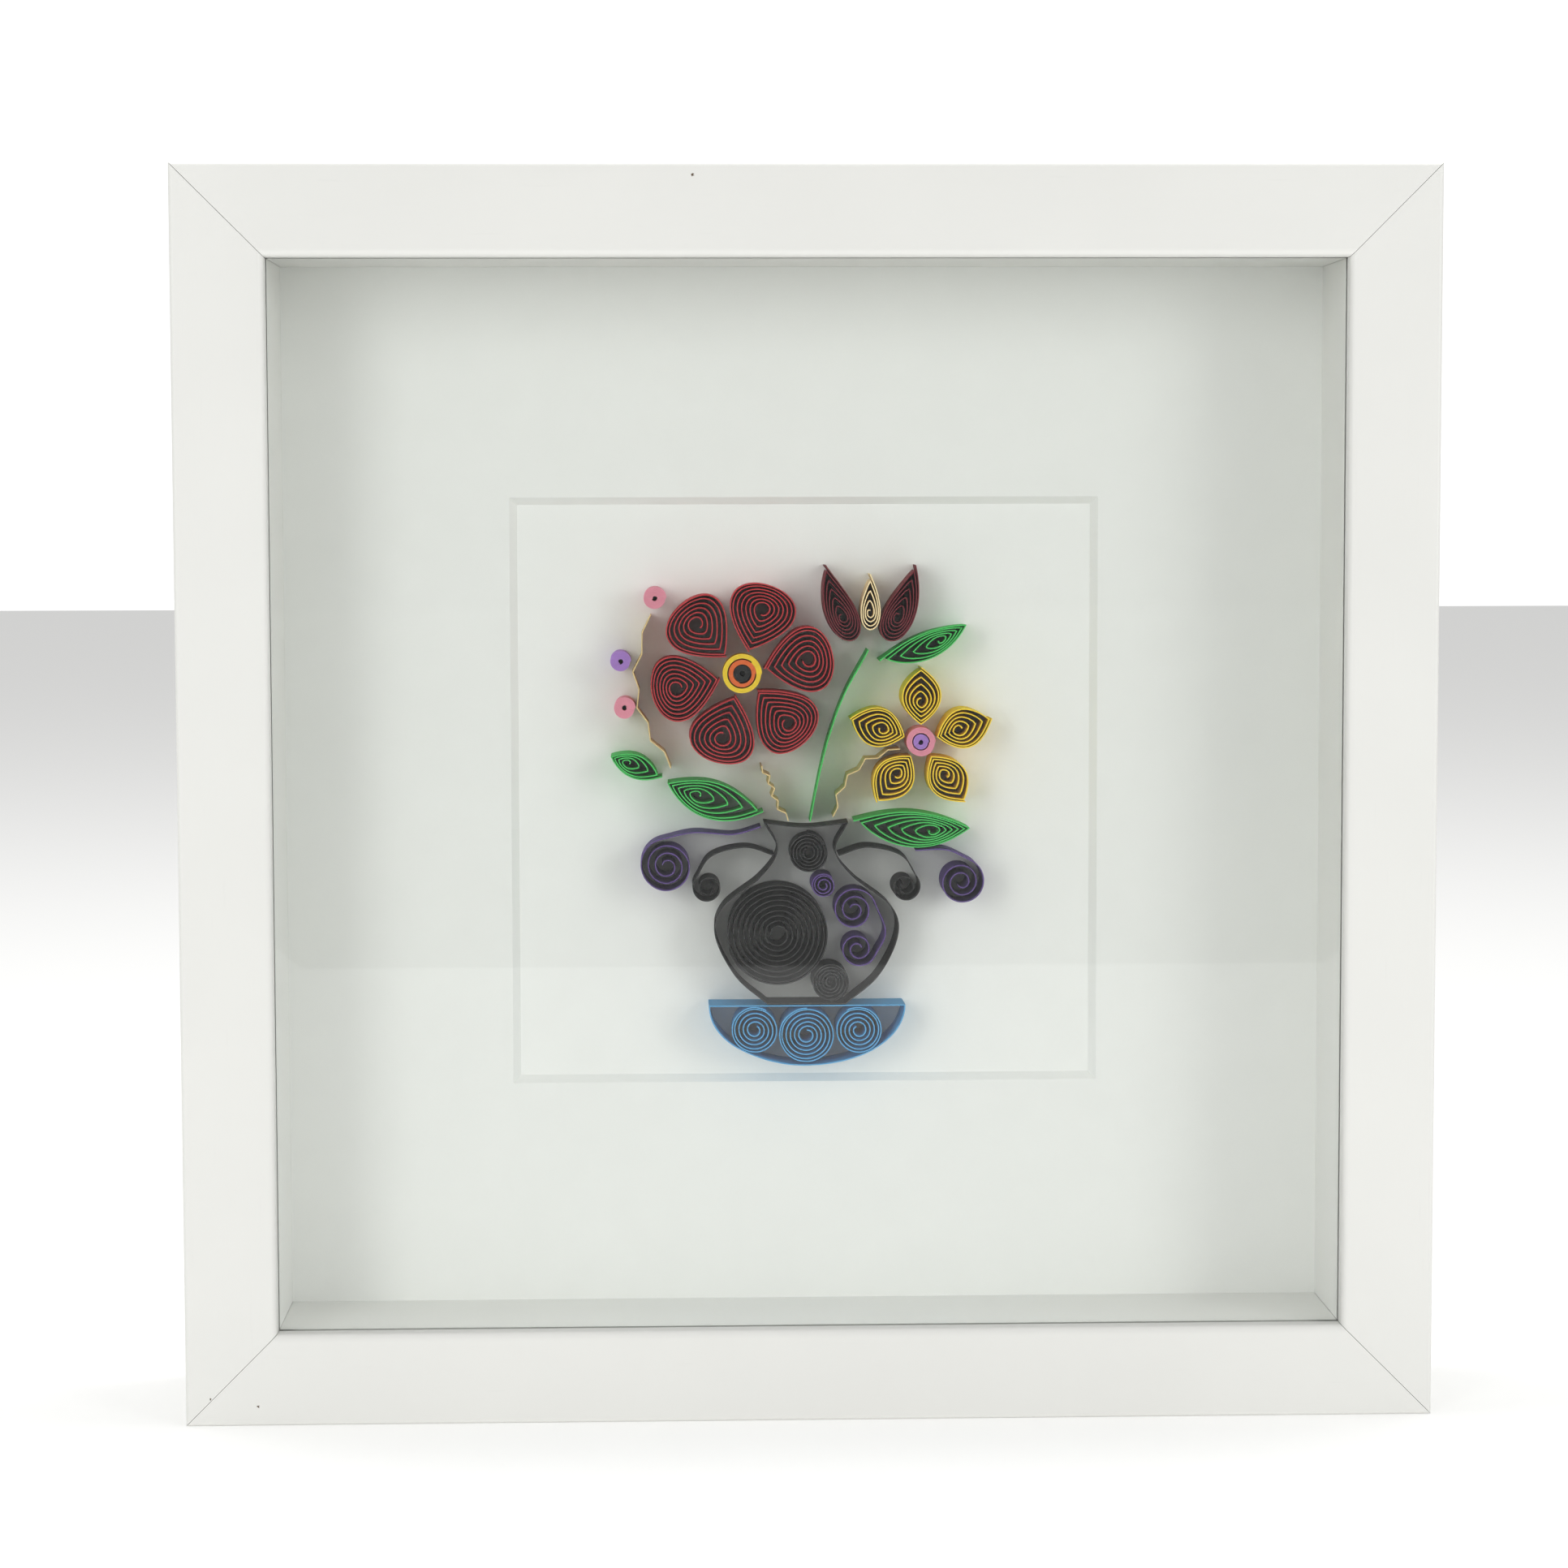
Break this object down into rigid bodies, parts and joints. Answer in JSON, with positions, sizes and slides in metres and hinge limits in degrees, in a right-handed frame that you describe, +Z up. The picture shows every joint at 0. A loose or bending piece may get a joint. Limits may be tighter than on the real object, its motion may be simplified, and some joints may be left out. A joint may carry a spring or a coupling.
{
  "type": "quilled paper art in a box frame",
  "caption": "Square white box frame that stands on its lower rail, with a clear front and a bevelled window mat, round a vase of flowers made of rolled paper strips.",
  "frame": {"origin": "middle of the footprint, on the surface that the lower rail stands on", "axes": "+X to the viewer's right, +Y from the front to the back, +Z up"},
  "size_m": [0.25, 0.045, 0.25],
  "materials": {
    "rail_white": "white foil over fibreboard, satin",
    "spacer_white": "white foil over fibreboard, satin",
    "glazing": "clear, polished",
    "mat_white": "smooth matt white",
    "card_white": "smooth matt white",
    "board_brown": "brown hardboard, matt",
    "steel": "zinc plated",
    "paper_red": "matt, dyed through",
    "paper_maroon": "matt, dyed through",
    "paper_yellow": "matt, dyed through",
    "paper_orange": "matt, dyed through",
    "paper_cream": "matt, dyed through",
    "paper_black": "matt, dyed through",
    "paper_purple": "matt, dyed through",
    "paper_green": "matt, dyed through",
    "paper_pink": "matt, dyed through",
    "paper_lilac": "matt, dyed through",
    "paper_blue": "matt, dyed through",
    "paper_tan": "matt, dyed through"
  },
  "bodies": {
    "root": {"rail_bottom": "rail_white", "spacer_bottom": "spacer_white", "rail_right": "rail_white", "spacer_right": "spacer_white", "rail_top": "rail_white", "spacer_top": "spacer_white", "rail_left": "rail_white", "spacer_left": "spacer_white", "glazing": "glazing", "window_mat": "mat_white", "art_card": "card_white", "backing_board": "board_brown", "backing_tabs": "steel", "corner_nails": "steel", "hanger": "steel", "hanger_pins": "steel", "saucer": "paper_blue", "saucer_coil_middle": "paper_blue", "saucer_coil_left": "paper_blue", "saucer_coil_right": "paper_blue", "vase_outline": "paper_black", "vase_large_coil": "paper_black", "vase_foot_coil": "paper_black", "vase_neck_coil": "paper_black", "vase_handle_right": "paper_black", "vase_handle_left": "paper_black", "vase_shoulder_coil": "paper_purple", "vase_scroll": "paper_purple", "tendril_left": "paper_purple", "tendril_right": "paper_purple", "flower_stem": "paper_tan", "small_flower_stem": "paper_tan", "berry_twig": "paper_tan", "bud_stem": "paper_green", "leaf_left": "paper_green", "leaf_right": "paper_green", "leaf_berry": "paper_green", "leaf_bud": "paper_green", "flower_petal_1": "paper_red", "flower_petal_2": "paper_red", "flower_petal_3": "paper_red", "flower_petal_4": "paper_red", "flower_petal_5": "paper_red", "flower_petal_6": "paper_red", "small_flower_petal_1": "paper_yellow", "small_flower_petal_2": "paper_yellow", "small_flower_petal_3": "paper_yellow", "small_flower_petal_4": "paper_yellow", "small_flower_petal_5": "paper_yellow", "flower_centre_black": "paper_black", "flower_centre_orange": "paper_orange", "flower_centre_yellow": "paper_yellow", "small_flower_centre_lilac": "paper_lilac", "small_flower_centre_pink": "paper_pink", "bud_middle": "paper_cream", "bud_left": "paper_maroon", "bud_right": "paper_maroon", "berry_1": "paper_pink", "berry_2": "paper_lilac", "berry_3": "paper_pink"}
  },
  "joints": []
}
